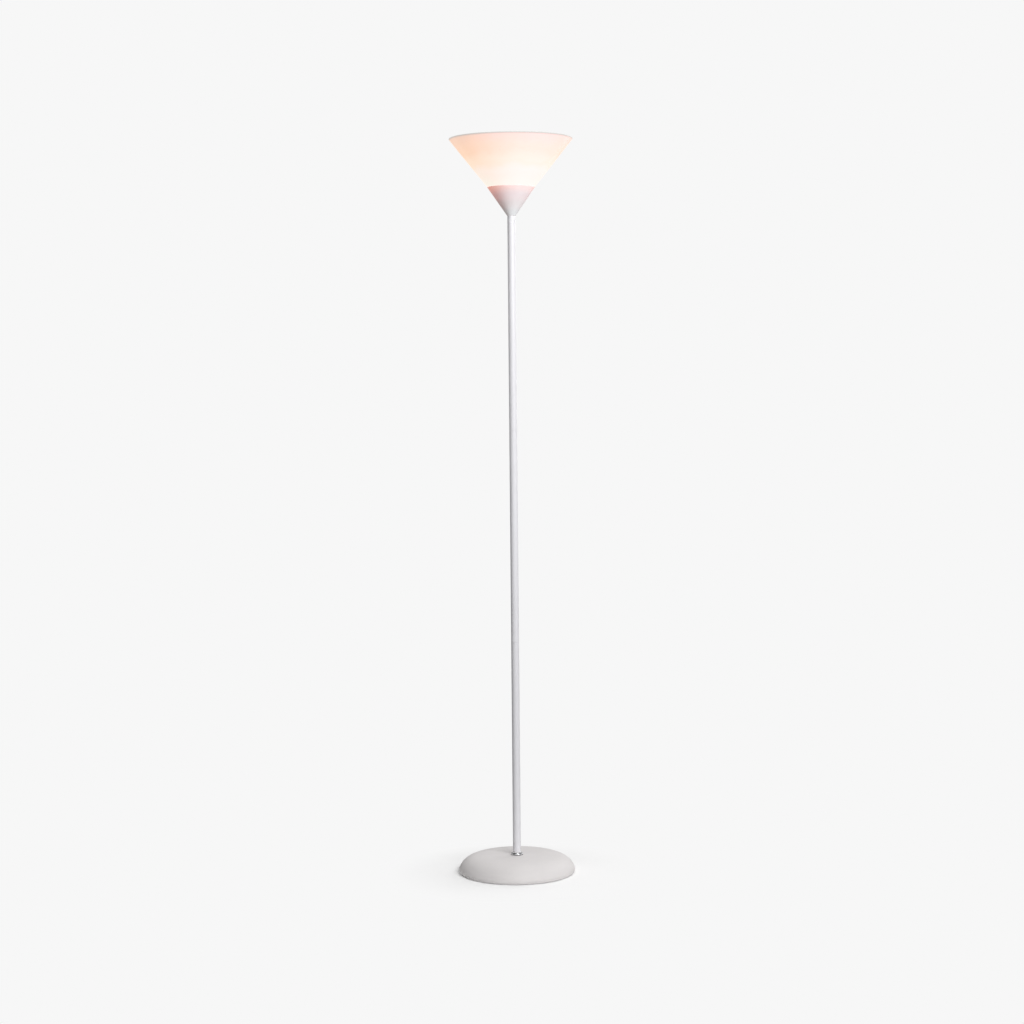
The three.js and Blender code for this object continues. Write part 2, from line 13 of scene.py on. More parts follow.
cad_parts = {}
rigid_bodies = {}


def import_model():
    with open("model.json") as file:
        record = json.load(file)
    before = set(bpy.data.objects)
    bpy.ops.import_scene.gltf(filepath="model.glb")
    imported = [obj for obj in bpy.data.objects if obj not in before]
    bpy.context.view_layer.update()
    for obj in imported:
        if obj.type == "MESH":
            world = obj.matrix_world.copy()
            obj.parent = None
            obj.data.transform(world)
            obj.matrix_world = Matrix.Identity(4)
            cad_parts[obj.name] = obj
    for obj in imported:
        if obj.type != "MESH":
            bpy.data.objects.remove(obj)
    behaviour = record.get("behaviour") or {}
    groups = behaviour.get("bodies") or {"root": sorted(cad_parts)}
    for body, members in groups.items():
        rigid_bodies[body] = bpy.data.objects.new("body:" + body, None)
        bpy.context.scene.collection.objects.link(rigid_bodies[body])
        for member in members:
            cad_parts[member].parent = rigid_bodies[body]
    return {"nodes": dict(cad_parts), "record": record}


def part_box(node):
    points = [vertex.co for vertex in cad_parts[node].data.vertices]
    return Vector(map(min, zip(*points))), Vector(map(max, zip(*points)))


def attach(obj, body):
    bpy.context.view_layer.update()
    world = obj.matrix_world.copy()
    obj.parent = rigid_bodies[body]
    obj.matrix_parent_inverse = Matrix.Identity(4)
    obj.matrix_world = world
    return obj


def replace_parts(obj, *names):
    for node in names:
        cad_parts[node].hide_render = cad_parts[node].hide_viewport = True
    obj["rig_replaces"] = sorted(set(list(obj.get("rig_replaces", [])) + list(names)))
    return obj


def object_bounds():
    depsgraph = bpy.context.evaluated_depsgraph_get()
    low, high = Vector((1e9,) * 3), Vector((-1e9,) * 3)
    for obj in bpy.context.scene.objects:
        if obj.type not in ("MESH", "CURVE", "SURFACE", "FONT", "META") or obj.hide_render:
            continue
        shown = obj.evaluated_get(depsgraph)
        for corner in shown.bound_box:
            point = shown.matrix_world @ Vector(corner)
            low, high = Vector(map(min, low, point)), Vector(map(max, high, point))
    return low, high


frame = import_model()
cad_box = [list(corner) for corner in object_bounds()]

MM = 0.001
GAP = 0.3 * MM  # between pieces that touch
MERGE = 1e-6  # points closer than this are one
SHARP = 38  # degrees; a crease at least this steep isn't smoothed over


# ---------------------------------------------------------------- meshes


def filleted(points, steps=4):
    """The outline with each corner rounded. Points are (r, z) or (r, z, fillet radius)."""
    outline = []
    for i, point in enumerate(points):
        here = Vector(point[:2])
        radius = point[2] if len(point) > 2 else 0
        if not radius:
            outline.append(here)
            continue
        before = Vector(points[i - 1][:2]) - here
        after = Vector(points[(i + 1) % len(points)][:2]) - here
        half = before.angle(after) / 2
        reach = min(radius / math.tan(half), before.length * 0.45, after.length * 0.45)
        start = here + before.normalized() * reach
        end = here + after.normalized() * reach
        for k in range(steps + 1):
            t = k / steps
            outline.append(start.lerp(here, t).lerp(here.lerp(end, t), t))
    return outline


def arc_steps(start, end, steps):
    """Evenly spaced angles, both ends included."""
    return [start + (end - start) * i / steps for i in range(steps + 1)]


HOLD = 1.2 * MM  # how far from a stretch's ends its holding points sit


def held(outline):
    """The outline with a point near both ends of each long stretch, which keeps its shading flat."""
    made = [outline[0]]
    for here, there in zip(outline, outline[1:]):
        length = (there - here).length
        if length > HOLD * 4:
            near = min(0.12, HOLD / length)
            made.append(here.lerp(there, near))
            made.append(here.lerp(there, 1 - near))
        made.append(there)
    return made


def turned(name, points, segments=128, steps=4, closed=True):
    """A solid of revolution about Z. A closed outline is a ring; an open one runs from axis to axis."""
    outline = filleted(points, steps)
    if closed:
        outline.append(outline[0].copy())
    outline = held(outline)
    if closed:
        outline.pop()
    bm = bmesh.new()
    rings = []
    for r, z in outline:
        if r < MERGE:
            rings.append([bm.verts.new((0, 0, z))])
            continue
        turns = (math.tau * k / segments for k in range(segments))
        rings.append([bm.verts.new((r * math.cos(a), r * math.sin(a), z)) for a in turns])
    for lower, upper in zip(rings, rings[1:] + rings[:1] if closed else rings[1:]):
        for k in range(segments):
            n = (k + 1) % segments
            corners = [
                lower[k % len(lower)],
                lower[n % len(lower)],
                upper[n % len(upper)],
                upper[k % len(upper)],
            ]
            corners = [v for j, v in enumerate(corners) if v not in corners[:j]]
            if len(corners) > 2:
                bm.faces.new(corners)
    return finished(name, bm)


def finished(name, bm, sharp=SHARP):
    """A smooth-shaded object from a bmesh, with its faces pointing out."""
    bmesh.ops.recalc_face_normals(bm, faces=bm.faces)
    mesh = bpy.data.meshes.new(name)
    bm.to_mesh(mesh)
    bm.free()
    mesh.shade_smooth()
    mesh.set_sharp_from_angle(angle=math.radians(sharp))
    obj = bpy.data.objects.new(name, mesh)
    bpy.context.collection.objects.link(obj)
    return obj


def applied(obj):
    """Turns the object's modifiers into its mesh."""
    depsgraph = bpy.context.evaluated_depsgraph_get()
    mesh = bpy.data.meshes.new_from_object(obj.evaluated_get(depsgraph))
    obj.modifiers.clear()
    obj.data = mesh
    return obj


def carved(obj, *tools):
    """Cuts the tools out of the object."""
    for tool in tools:
        cut = obj.modifiers.new("cut", "BOOLEAN")
        cut.operation = "DIFFERENCE"
        cut.solver = "EXACT"
        cut.object = tool
    applied(obj)
    for tool in tools:
        bpy.data.objects.remove(tool)
    obj.data.shade_smooth()
    obj.data.set_sharp_from_angle(angle=math.radians(SHARP))
    return obj


def moved(obj, offset=(0, 0, 0), turn=None):
    """Moves and turns the mesh itself, so that the object stays at the origin."""
    matrix = Matrix.Translation(offset)
    if turn:
        angle, axis = turn
        matrix = matrix @ Matrix.Rotation(math.radians(angle), 4, axis)
    obj.data.transform(matrix)
    return obj


def softened(name, node, width):
    """A copy of a CAD node's mesh with its hard edges rounded."""
    flat_angle = math.radians(2)  # faces that meet at less than this become one
    bm = bmesh.new()
    bm.from_mesh(frame["nodes"][node].data)
    bmesh.ops.remove_doubles(bm, verts=bm.verts, dist=MERGE)
    bmesh.ops.dissolve_limit(bm, angle_limit=flat_angle, verts=bm.verts, edges=bm.edges)
    obj = finished(name, bm)
    bevel = obj.modifiers.new("bevel", "BEVEL")
    bevel.width = width
    bevel.segments = 2
    bevel.limit_method = "ANGLE"
    bevel.angle_limit = math.radians(SHARP)
    bevel.use_clamp_overlap = True
    applied(obj)
    obj.data.shade_smooth()
    obj.data.set_sharp_from_angle(angle=math.radians(SHARP))
    return obj


# ---------------------------------------------------------------- materials

# The Mix node has sockets for every kind of value. These are the ones for colours.
MIX_COLOUR_INPUTS = (0, 6, 7)
MIX_COLOUR_OUTPUT = 2


def fill_ramp(node, stops):
    """Sets a colour ramp's stops, each (position, (r, g, b))."""
    elements = node.color_ramp.elements
    while len(elements) < len(stops):
        elements.new(0.5)
    for element, (position, colour) in zip(elements, stops):
        element.position = position
        element.color = (*colour, 1)


class Finish:
    """A Principled material whose colour, roughness and relief come from nodes, sized in millimetres."""

    def __init__(self, name, colour, roughness, metallic=0.0):
        self.material = bpy.data.materials.new(name)
        self.material.use_nodes = True
        self.tree = self.material.node_tree
        self.shader = self.tree.nodes["Principled BSDF"]
        self.shader.inputs["Base Color"].default_value = (*colour, 1)
        self.shader.inputs["Roughness"].default_value = roughness
        self.shader.inputs["Metallic"].default_value = metallic
        self.place = self.node("ShaderNodeTexCoord").outputs["Object"]
        self.relief = None

    def node(self, kind, **values):
        made = self.tree.nodes.new(kind)
        for name, value in values.items():
            setattr(made, name, value)
        return made

    def link(self, source, target):
        self.tree.links.new(source, target)

    def scaled(self, size_mm, stretch=(1, 1, 1), offset=(0, 0, 0)):
        """Coordinates in which one pattern cell is about size_mm, drawn out by stretch."""
        mapping = self.node("ShaderNodeMapping")
        mapping.inputs["Scale"].default_value = [1 / (MM * size_mm * s) for s in stretch]
        mapping.inputs["Location"].default_value = offset
        self.link(self.place, mapping.inputs["Vector"])
        return mapping.outputs["Vector"]

    def noise(self, size_mm, detail=2.0, stretch=(1, 1, 1), offset=(0, 0, 0)):
        """A cloudy pattern with blobs about size_mm across."""
        noise = self.node("ShaderNodeTexNoise")
        noise.inputs["Scale"].default_value = 1
        noise.inputs["Detail"].default_value = detail
        self.link(self.scaled(size_mm, stretch, offset), noise.inputs["Vector"])
        return noise.outputs["Fac"]

    def specks(self, size_mm, offset=(0, 0, 0)):
        """Distance from scattered points: 0 at each point."""
        cells = self.node("ShaderNodeTexVoronoi")
        cells.inputs["Scale"].default_value = 1
        self.link(self.scaled(size_mm, offset=offset), cells.inputs["Vector"])
        return cells.outputs["Distance"]

    def remap(self, value, low, high, to_low=0.0, to_high=1.0, smooth=False):
        ranged = self.node("ShaderNodeMapRange")
        ranged.interpolation_type = "SMOOTHSTEP" if smooth else "LINEAR"
        self.link(value, ranged.inputs["Value"])
        limits = {"From Min": low, "From Max": high, "To Min": to_low, "To Max": to_high}
        for socket, number in limits.items():
            ranged.inputs[socket].default_value = number
        return ranged.outputs["Result"]

    def spread(self, noise, to_low=0.0, to_high=1.0):
        """A noise, which mostly stays between 0.3 and 0.7, drawn out to the given range."""
        return self.remap(noise, 0.3, 0.7, to_low, to_high)

    def axis(self, letter):
        """One coordinate of the point, in metres."""
        parts = self.node("ShaderNodeSeparateXYZ")
        self.link(self.place, parts.inputs["Vector"])
        return parts.outputs[letter]

    def maths(self, operation, a, b):
        made = self.node("ShaderNodeMath", operation=operation)
        for socket, value in zip(made.inputs, (a, b)):
            if isinstance(value, (int, float)):
                socket.default_value = value
            else:
                self.link(value, socket)
        return made.outputs["Value"]

    def ramp(self, factor, stops):
        """Colours along a factor. Stops are (position, (r, g, b))."""
        ramp = self.node("ShaderNodeValToRGB")
        ramp.color_ramp.interpolation = "EASE"
        fill_ramp(ramp, stops)
        self.link(factor, ramp.inputs["Fac"])
        return ramp.outputs["Color"]

    def mixed(self, factor, a, b):
        """Colour a where the factor is 0 and b where it is 1."""
        mix = self.node("ShaderNodeMix", data_type="RGBA")
        sockets = (mix.inputs[i] for i in MIX_COLOUR_INPUTS)
        for socket, value in zip(sockets, (factor, a, b)):
            if isinstance(value, tuple):
                socket.default_value = (*value, 1)
            elif isinstance(value, (int, float)):
                socket.default_value = value
            else:
                self.link(value, socket)
        return mix.outputs[MIX_COLOUR_OUTPUT]

    def colour(self, source):
        self.link(source, self.shader.inputs["Base Color"])

    def roughness(self, source):
        self.link(source, self.shader.inputs["Roughness"])

    def bump(self, height, distance_mm, strength=1.0):
        """Adds relief that is distance_mm high where height goes from 0 to 1."""
        bump = self.node("ShaderNodeBump")
        bump.inputs["Strength"].default_value = strength
        bump.inputs["Distance"].default_value = distance_mm * MM
        self.link(height, bump.inputs["Height"])
        if self.relief:
            self.link(self.relief, bump.inputs["Normal"])
        self.relief = bump.outputs["Normal"]
        self.link(self.relief, self.shader.inputs["Normal"])

    def glow(self, source, strength=1.0):
        """Light given off, in the source's colour."""
        self.link(source, self.shader.inputs["Emission Color"])
        self.shader.inputs["Emission Strength"].default_value = strength

    def edges(self):
        """1 on worn convex edges, 0 elsewhere."""
        geometry = self.node("ShaderNodeNewGeometry")
        return self.remap(geometry.outputs["Pointiness"], 0.5, 0.58)


def shaded(colour, factor):
    """The colour, darker below a factor of 1 and lighter above it."""
    return tuple(channel * factor for channel in colour)


def powder_coat(name, colour, roughness, grain_mm=0.9, cast=0.035):
    """Sprayed and baked paint: a fine orange peel, faint cloudiness and a few dust nibs."""
    paint = Finish(name, colour, roughness)
    clouds = paint.noise(38, 3)
    paint.colour(paint.mixed(paint.spread(clouds), shaded(colour, 1 - cast), colour))
    sheen = paint.noise(9, 4, offset=(3, 7, 1))
    paint.roughness(paint.spread(sheen, roughness - 0.06, roughness + 0.07))
    paint.bump(paint.noise(grain_mm * 2.6, 2), 0.02)
    paint.bump(paint.noise(grain_mm, 1, offset=(5, 2, 9)), 0.008)
    nibs = paint.remap(paint.specks(7, offset=(1, 4, 2)), 0.02, 0.07, 1, 0, smooth=True)
    paint.bump(nibs, 0.02)
    return paint


def moulded(name, colour, roughness):
    """Injection-moulded plastic: a fine spark-eroded texture, and flow clouds."""
    plastic = Finish(name, colour, roughness)
    clouds = plastic.noise(26, 3)
    plastic.colour(plastic.mixed(plastic.spread(clouds), shaded(colour, 0.965), colour))
    sheen = plastic.noise(5, 3, offset=(2, 2, 8))
    plastic.roughness(plastic.spread(sheen, roughness - 0.05, roughness + 0.05))
    plastic.bump(plastic.noise(0.6, 2), 0.006)
    return plastic


def plated(name, colour, roughness, scratch=0.004, tarnish=0.9):
    """Plated or bare metal: fine scratches, a cloudy lustre and brighter edges."""
    metal = Finish(name, colour, roughness, metallic=1.0)
    body = metal.mixed(metal.spread(metal.noise(6, 4)), shaded(colour, tarnish), colour)
    metal.colour(metal.mixed(metal.edges(), body, shaded(colour, 1.08)))
    sheen = metal.noise(2.2, 4, offset=(4, 1, 3))
    metal.roughness(metal.remap(sheen, 0.3, 0.75, roughness * 0.7, roughness * 1.5))
    metal.bump(metal.noise(0.25, 2, stretch=(1, 1, 14)), scratch)
    return metal


def cast_iron(name, colour, rust_colour):
    """Black cast iron: a coarse sand-cast skin with patches of rust."""
    iron = Finish(name, colour, 0.75, metallic=0.35)
    rust = iron.remap(iron.noise(24, 5, offset=(1, 1, 1)), 0.55, 0.7)
    iron.colour(iron.mixed(rust, colour, rust_colour))
    iron.roughness(iron.spread(iron.noise(4, 4), 0.62, 0.88))
    iron.bump(iron.noise(1.6, 4), 0.25)
    return iron


def moulded_rubber(name, colour):
    """Black rubber: matt, with a greyish bloom."""
    rubber = Finish(name, colour, 0.8)
    bloom = rubber.spread(rubber.noise(8, 3))
    rubber.colour(rubber.mixed(bloom, shaded(colour, 0.75), shaded(colour, 1.2)))
    rubber.roughness(rubber.spread(rubber.noise(3, 3, offset=(1, 5, 1)), 0.68, 0.9))
    rubber.bump(rubber.noise(0.8, 3), 0.03)
    return rubber


def ceramic(name, colour):
    """Unglazed ceramic, finely speckled."""
    body = Finish(name, colour, 0.55)
    clear_of_specks = body.remap(body.specks(1.1), 0.05, 0.16)
    body.colour(body.mixed(clear_of_specks, shaded(colour, 0.8), colour))
    body.roughness(body.spread(body.noise(3, 3), 0.45, 0.65))
    body.bump(body.noise(0.7, 3), 0.02)
    return body


# ---------------------------------------------------------------- main measures

# The outer sizes come from the frame. The walls and the hole inside them are the CAD's.
shade_low, shade_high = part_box("shade")
cup_low, cup_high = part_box("shade_cup")
cover_low, cover_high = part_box("base_cover")
ferrule_low, ferrule_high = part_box("pole_ferrule")
skirt_low, skirt_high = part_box("lampholder_skirt")
globe_low, globe_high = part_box("bulb_globe")

RIM_R, RIM_Z = shade_high.x, shade_high.z
CUP_R, CUP_Z = cup_high.x, cup_high.z
CUP_FOOT_Z = cup_low.z
POLE_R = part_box("pole_upper")[1].x
CUP_FOOT_R = POLE_R + 0.5 * MM
CUP_WALL = 2 * MM
SHADE_WALL = 2.5 * MM
PIPE_HOLE_R = 5.3 * MM  # a clearance hole for the lamp pipe
BASE_R, BASE_H = cover_high.x, cover_high.z
LAMP_H = cad_box[1][2]


# ---------------------------------------------------------------- the glowing parts' finishes

BLACK = (0.0, 0.0, 0.0)

# Colours from the shade's foot (0) to its rim (1), and at its lip.
SHADE_GLOW = [
    (0.0, (0.885, 0.835, 0.72)),
    (0.26, (0.895, 0.775, 0.655)),
    (0.47, (0.89, 0.695, 0.505)),
    (0.7, (0.865, 0.595, 0.395)),
    (1.0, (0.80, 0.555, 0.40)),
]
SHADE_BODY = [(0.0, (0.30, 0.19, 0.29)), (0.75, (0.50, 0.375, 0.525))]
SHADE_CLOUD = (0.16, 0.155, 0.15)
LIP_GLOW = (0.47, 0.445, 0.42)
LIP_BODY = (0.24, 0.24, 0.235)

# Glow colours from the cup's foot (0) to its mouth (1): the bulb's warm light through the plastic near
# the mouth, and lower down a faint, nearly neutral painted light that brightens the cup's underside.
CUP_GLOW = [
    (0.1, (0.15, 0.11, 0.10)),
    (0.4, (0.205, 0.096, 0.078)),
    (0.66, (0.34, 0.11, 0.085)),
    (1.0, (0.60, 0.17, 0.095)),
]
CUP_BODY = [(0.3, (0.82, 0.88, 0.91)), (1.0, (0.59, 0.84, 0.91))]

# Colours from the globe's foot (0) to its middle (1).
GLOBE_GLOW = [(0.0, (0.9, 0.55, 0.3)), (0.6, (1.0, 0.78, 0.52)), (1.0, (1.0, 0.84, 0.62))]
GLOBE_STRENGTH = 1.8

INSIDE_DIMMING = 0.3  # how much less the shade glows on its inside
# Painted shade: the dark colour of the ferrule's seams, where it meets the crown and at its collar's
# foot.
SEAM_SHADE_COLOUR = (0.09, 0.09, 0.10)


def opal_shade(name):
    """Opal plastic lit from within: near white close to the bulb, and warmer towards the rim."""
    opal = Finish(name, (0.86, 0.80, 0.76), 0.32)
    z = opal.axis("Z")
    mottle = opal.remap(opal.noise(42, 2), 0.25, 0.75, -0.05, 0.05)
    level = opal.maths("ADD", opal.remap(z, CUP_Z, RIM_Z), mottle)
    glow = opal.ramp(level, SHADE_GLOW)
    # The inside is lit by the bulb itself, so it glows less than the outside.
    slope = (RIM_R - CUP_R) / (RIM_Z - CUP_Z)
    middle_r = CUP_R - SHADE_WALL * slope - slope * CUP_Z
    squares = [opal.maths("POWER", opal.maths("ABSOLUTE", opal.axis(a), 0), 2) for a in "XY"]
    radius = opal.maths("POWER", opal.maths("ADD", *squares), 0.5)
    lean = opal.maths("SUBTRACT", radius, opal.maths("MULTIPLY", z, slope))
    outside = opal.remap(lean, middle_r - 0.3 * MM, middle_r + 0.3 * MM)
    glow = opal.mixed(outside, opal.mixed(INSIDE_DIMMING, glow, BLACK), glow)
    lip = opal.remap(z, RIM_Z - 5 * MM, RIM_Z - 1.5 * MM)
    opal.glow(opal.mixed(lip, glow, LIP_GLOW))
    body = opal.mixed(lip, opal.ramp(level, SHADE_BODY), LIP_BODY)
    clouds = opal.spread(opal.noise(30, 3), 0, 0.1)
    opal.colour(opal.mixed(clouds, body, SHADE_CLOUD))
    opal.roughness(opal.spread(opal.noise(7, 3, offset=(1, 6, 2)), 0.27, 0.38))
    opal.bump(opal.noise(2.4, 2), 0.008)
    opal.bump(opal.noise(60, 1, offset=(9, 1, 4)), 0.25)
    return opal


def lit_cup(name):
    """Satin plastic that lets a little of the bulb's warm light through near its mouth, with a faint
    painted light down to its foot.
    """
    cup = Finish(name, CUP_BODY[0][1], 0.42)
    up = cup.remap(cup.axis("Z"), CUP_FOOT_Z, CUP_Z)
    clouds = cup.spread(cup.noise(26, 3), 0.035, 0)
    cup.colour(cup.mixed(clouds, cup.ramp(up, CUP_BODY), BLACK))
    cup.roughness(cup.spread(cup.noise(5, 3, offset=(2, 2, 8)), 0.37, 0.47))
    cup.glow(cup.ramp(up, CUP_GLOW))
    cup.bump(cup.noise(0.6, 2), 0.006)
    return cup


def lit_globe(name):
    """The bulb's frosted dome, the brightest part of the lamp."""
    globe = Finish(name, (0.9, 0.86, 0.8), 0.4)
    middle = (globe_low.z + globe_high.z) / 2
    up = globe.remap(globe.axis("Z"), globe_low.z, middle)
    globe.glow(globe.ramp(up, GLOBE_GLOW), GLOBE_STRENGTH)
    frost = globe.spread(globe.noise(12, 3))
    globe.colour(globe.mixed(frost, (0.86, 0.82, 0.76), (0.9, 0.87, 0.82)))
    globe.roughness(globe.spread(globe.noise(2, 3), 0.34, 0.46))
    globe.bump(globe.noise(0.5, 2), 0.006)
    return globe


def ferrule_chrome(name):
    """Chrome with painted shade in the ferrule's two seams: at the crown, and round its collar's foot.
    """
    metal = plated(name, (0.86, 0.87, 0.88), 0.07, scratch=0.0008, tarnish=0.98)
    height = metal.maths("SUBTRACT", metal.axis("Z"), ferrule_low.z)
    crown_seam = metal.remap(height, 0.9 * MM, 1.9 * MM, 1, 0)
    from_collar_foot = metal.maths("ABSOLUTE", metal.maths("SUBTRACT", height, 3.9 * MM), 0)
    collar_seam = metal.remap(from_collar_foot, 0.2 * MM, 0.9 * MM, 1, 0)
    # Painted shade: the chrome is darkened where its flange meets the crown and in the corner at its
    # collar's foot.
    seam_shade_mask = metal.maths("MAXIMUM", crown_seam, collar_seam)
    bare = metal.shader.inputs["Base Color"].links[0].from_socket
    metal.colour(metal.mixed(seam_shade_mask, bare, SEAM_SHADE_COLOUR))
    return metal


FINISHES = {
    "opal_shade": opal_shade("opal_shade"),
    "cup_plastic": lit_cup("cup_plastic"),
    "pole_paint": powder_coat("pole_paint", (0.805, 0.80, 0.83), 0.38, grain_mm=0.7, cast=0.02),
    "base_paint": powder_coat("base_paint", (0.643, 0.62, 0.617), 0.62),
    "cast_iron": cast_iron("cast_iron", (0.045, 0.045, 0.048), (0.09, 0.05, 0.035)),
    "zinc_steel": plated("zinc_steel", (0.62, 0.63, 0.66), 0.32),
    "chrome": ferrule_chrome("chrome"),
    "brass": plated("brass", (0.74, 0.55, 0.26), 0.25, tarnish=0.75),
    "rubber": moulded_rubber("rubber", (0.035, 0.035, 0.036)),
    "holder_plastic": moulded("holder_plastic", (0.80, 0.79, 0.76), 0.4),
    "steatite": ceramic("steatite", (0.80, 0.77, 0.69)),
    "lead_jacket": moulded("lead_jacket", (0.78, 0.78, 0.76), 0.45),
    "live_core": moulded("live_core", (0.15, 0.06, 0.03), 0.4),
    "neutral_core": moulded("neutral_core", (0.03, 0.10, 0.32), 0.4),
    "bulb_plastic": moulded("bulb_plastic", (0.82, 0.82, 0.81), 0.38),
    "bulb_diffuser": lit_globe("bulb_diffuser"),
    "nickel": plated("nickel", (0.66, 0.65, 0.62), 0.2),
    "black_glass": moulded("black_glass", (0.012, 0.012, 0.014), 0.15),
}
SLOT_OF = {row["node"]: row["material_slot"] for row in frame["record"]["subparts"]}
BODIES = frame["record"]["behaviour"]["bodies"]
BODY_OF = {node: body for body, nodes in BODIES.items() for node in nodes}


def stands_for(piece, node):
    """The piece takes the node's place: its body, slot and finish."""
    slot = SLOT_OF[node]
    piece.data.materials.clear()
    piece.data.materials.append(FINISHES[slot].material)
    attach(piece, BODY_OF[node])
    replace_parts(piece, node)


# ---------------------------------------------------------------- base

CROWN_POWER = 6.8  # how flat the dome's crown is; 2 would be round
SHOULDER_POWER = 1.4  # how full its shoulder is
COVER_WALL = 1.5 * MM
WIDEST_Z = 8 * MM  # the height at which the dome is widest
TURN_IN = 2 * MM  # how far its lower edge turns in
BUSH_FLANGE = 2.5 * MM  # how far the cord bush's flange reaches past its hole
inlet_low, inlet_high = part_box("cord_inlet_bush")
INLET_Z = (inlet_low.z + inlet_high.z) / 2


def dome(radius, height, inner_r, steps):
    """The dome's outline from the crown's hole out to its widest ring."""
    start = math.asin((inner_r / radius) ** (CROWN_POWER / 2))
    made = []
    for i in range(steps + 1):
        a = start + (math.pi / 2 - start) * i / steps
        rise = max(math.cos(a), 0) ** (2 / SHOULDER_POWER)
        made.append((radius * math.sin(a) ** (2 / CROWN_POWER), WIDEST_Z + (height - WIDEST_Z) * rise))
    return made


def cylinder_along_y(radius, y0, y1, z):
    """A cutting tool for a hole that runs from front to back."""
    bm = bmesh.new()
    bmesh.ops.create_cone(
        bm, cap_ends=True, segments=64, radius1=radius, radius2=radius, depth=y1 - y0
    )
    obj = finished("tool", bm)
    return moved(obj, (0, (y0 + y1) / 2, z), (90, "X"))


def make_cover():
    """The pressed dome: a thin shell, turned in at its lower edge, with two holes: pipe and cord."""
    outer = dome(BASE_R, BASE_H, PIPE_HOLE_R, 44)
    inner = dome(BASE_R - COVER_WALL, BASE_H - COVER_WALL, PIPE_HOLE_R, 36)
    edge_z = cover_low.z
    edge_r = BASE_R - TURN_IN
    curve = [
        (edge_r + TURN_IN * math.cos(a), WIDEST_Z - (WIDEST_Z - edge_z) * math.sin(a))
        for a in arc_steps(0, math.pi / 2, 12)[1:-1]
    ]
    edge = [(edge_r, edge_z, 0.3 * MM), (edge_r - COVER_WALL, edge_z, 0.6 * MM)]
    cover = turned("base_cover_shell", [*outer, *curve, *edge, *inner[::-1]], 224)
    bore_r = (inlet_high.x - inlet_low.x) / 2 - BUSH_FLANGE + GAP
    return carved(cover, cylinder_along_y(bore_r, BASE_R - 15 * MM, BASE_R + 10 * MM, INLET_Z))


def make_plate():
    """The sheet that closes the base: a round-edged disc with two pressed ribs."""
    low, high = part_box("base_plate")
    r, z0, z1 = high.x, low.z, high.z
    face_z = z0 + 0.5 * MM  # the sheet's face, between the ribs
    rib_foot = 6 * MM  # half of a rib's width, where it leaves the face
    rib_top = 3 * MM  # half of the width of its flat top
    under = [(0, face_z)]
    for centre in (38 * MM, 76 * MM):
        under += [
            (centre - rib_foot, face_z, 3 * MM),
            (centre - rib_top, z0, 2 * MM),
            (centre + rib_top, z0, 2 * MM),
            (centre + rib_foot, face_z, 3 * MM),
        ]
    under += [(r - 9 * MM, face_z, 3 * MM), (r - 6 * MM, z0, 2 * MM), (r, z0, 0.5 * MM)]
    plate = turned("base_closing_plate", [*under, (r, z1, 0.5 * MM), (0, z1)], 192, closed=False)
    hole_r = 2.3 * MM
    low_end, high_end = z0 - MM, z1 + MM
    drill = [(0, low_end), (hole_r, low_end), (hole_r, high_end), (0, high_end)]
    holes = []
    for i in (1, 2, 3):
        screw_low, screw_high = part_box(f"plate_screw_{i}")
        x, y = (screw_low.x + screw_high.x) / 2, (screw_low.y + screw_high.y) / 2
        holes.append(moved(turned("tool", drill, 32, closed=False), (x, y, 0)))
    return carved(plate, *holes)


def make_foot(node):
    """A rubber foot: a round-edged puck with a shallow dimple and a moulded ring underneath."""
    low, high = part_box(node)
    r, h = (high.x - low.x) / 2, high.z - low.z
    dimple = 0.5 * MM
    points = [
        (0, dimple),
        (4.2 * MM, dimple, 0.4 * MM),
        (5.4 * MM, 0, 0.4 * MM),
        (r - 1 * MM, 0, 0.7 * MM),
        (r, 1.1 * MM, 0.7 * MM),
        (r - 0.3 * MM, h, 0.3 * MM),
        (0, h),
    ]
    foot = turned(f"{node}_rubber", points, 64, closed=False)
    return moved(foot, ((low.x + high.x) / 2, (low.y + high.y) / 2, low.z))


def make_ferrule():
    """The pole's polished foot: a flange on the crown, and a short collar that the pole stands in."""
    r, z0, z1 = ferrule_high.x, ferrule_low.z, ferrule_high.z
    flange_h = 3.5 * MM
    collar_r = POLE_R + 1 * MM
    bore = POLE_R + GAP
    seat = z1 - 1.5 * MM
    points = [
        (PIPE_HOLE_R, z0),
        (r, z0, 0.7 * MM),
        (r, z0 + flange_h, 1.5 * MM),
        (collar_r, z0 + flange_h + 0.1 * MM, 1.9 * MM),
        (collar_r, z1, 0.4 * MM),
        (bore, z1, 0.2 * MM),
        (bore, seat),
        (PIPE_HOLE_R, seat),
    ]
    return turned("pole_foot_ring", points, 128, steps=6)


# ---------------------------------------------------------------- pole


def make_tube(node):
    """One section of the pole, with its ends' edges broken."""
    low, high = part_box(node)
    r, wall = high.x, 1.1 * MM
    edge = 0.25 * MM
    points = [
        (r - wall, low.z, edge),
        (r, low.z, edge),
        (r, high.z, edge),
        (r - wall, high.z, edge),
    ]
    return turned(f"{node}_tube", points, 96)


# ---------------------------------------------------------------- head

CUP_SLOPE = (CUP_R - CUP_FOOT_R) / (CUP_Z - CUP_FOOT_Z)
CUP_WALL_ACROSS = CUP_WALL * math.hypot(1, CUP_SLOPE)  # its wall, measured level


def make_cup():
    """The opaque cone that holds the shade, with a floor on top of the pole."""
    wall = CUP_WALL_ACROSS
    floor_z = CUP_FOOT_Z + 3 * MM
    inner_r = CUP_FOOT_R + CUP_SLOPE * (floor_z - CUP_FOOT_Z) - wall
    points = [
        (PIPE_HOLE_R, CUP_FOOT_Z),
        (CUP_FOOT_R, CUP_FOOT_Z, 0.3 * MM),
        (CUP_R, CUP_Z, 0.35 * MM),
        (CUP_R - wall, CUP_Z, 0.5 * MM),
        (inner_r, floor_z, 0.8 * MM),
        (PIPE_HOLE_R, floor_z),
    ]
    return turned("shade_cup_cone", points, 192)


